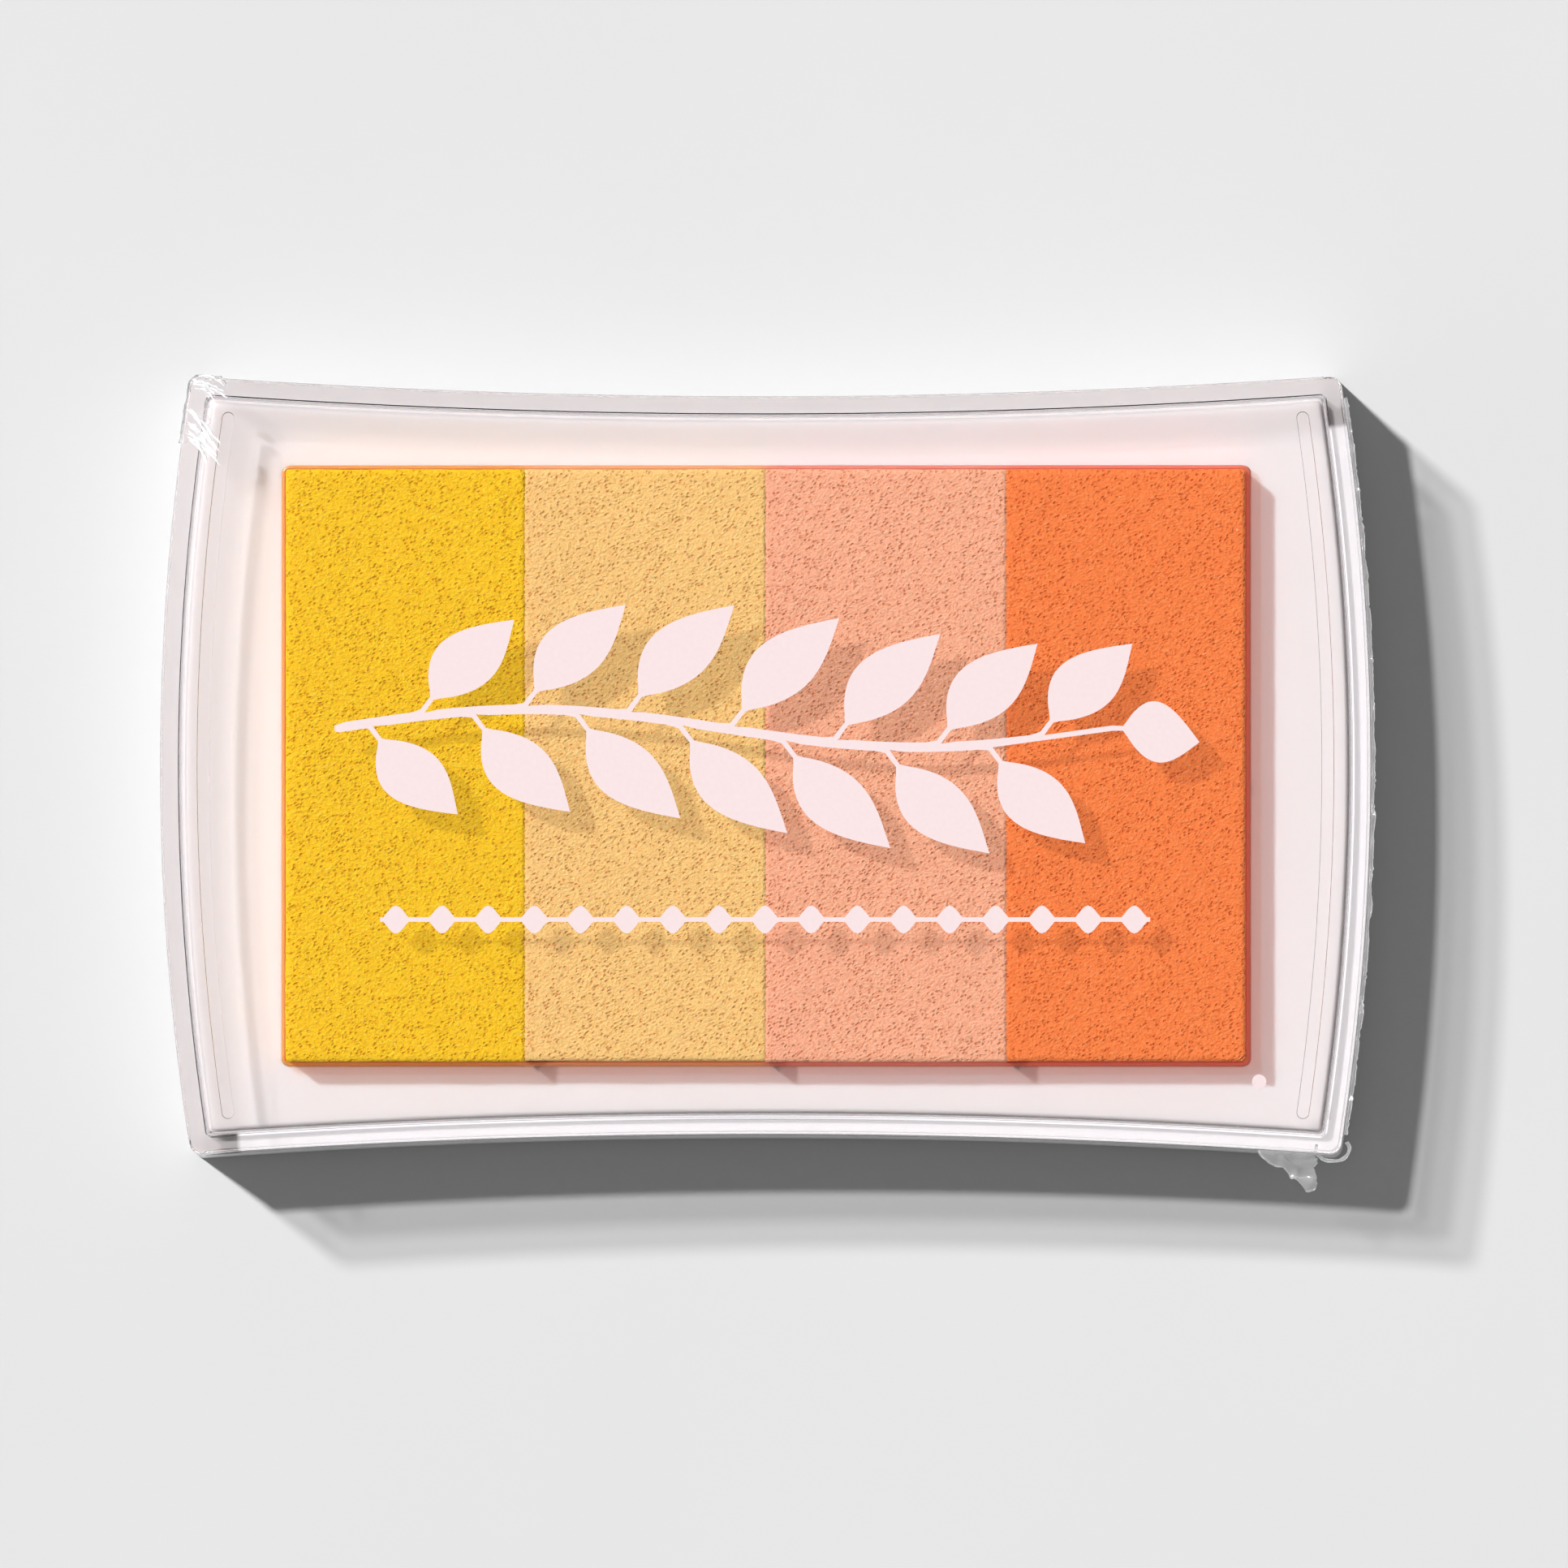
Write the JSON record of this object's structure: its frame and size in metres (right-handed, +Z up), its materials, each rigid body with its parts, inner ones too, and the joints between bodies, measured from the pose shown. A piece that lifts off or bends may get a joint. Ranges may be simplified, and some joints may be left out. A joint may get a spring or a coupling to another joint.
{
  "type": "ink pad",
  "caption": "Multi-colour foam ink pad in a white waisted case, with a clear ribbed lid that lifts straight off.",
  "frame": {"origin": "centre of the underside, on the surface the pad stands on", "axes": "+X along the case's long side, towards the orange strip; +Y towards the edge above the sprig; +Z up, the way the lid lifts"},
  "size_m": [0.0964, 0.0624, 0.0191],
  "materials": {
    "white_plastic": "satin moulded white",
    "clear_plastic": "clear, polished",
    "natural_plastic": "translucent, uncoloured",
    "adhesive": "clear tacky film",
    "divider_film": "clear film",
    "yellow_foam": "fine open foam, damp with ink",
    "apricot_foam": "fine open foam, damp with ink",
    "peach_foam": "fine open foam, damp with ink",
    "orange_foam": "fine open foam, damp with ink",
    "print_ink": "flat white print",
    "label_paper": "smooth blank paper"
  },
  "bodies": {
    "base": {"base_tray": "white_plastic", "deck": "white_plastic", "cup_adhesive": "adhesive", "pad_cup": "natural_plastic", "adhesive_yellow": "adhesive", "adhesive_apricot": "adhesive", "adhesive_peach": "adhesive", "adhesive_orange": "adhesive", "foam_yellow": "yellow_foam", "foam_apricot": "apricot_foam", "foam_peach": "peach_foam", "foam_orange": "orange_foam", "divider_1": "divider_film", "divider_2": "divider_film", "divider_3": "divider_film", "underside_label": "label_paper"},
    "lid": {"lid": "clear_plastic", "print_sprig": "print_ink", "print_rule": "print_ink", "print_dot": "print_ink"}
  },
  "joints": [
    {"name": "lid_lift", "type": "slide", "parent": "base", "child": "lid", "axis": [0, 0, 1], "range_m": [0, 0.025]}
  ]
}
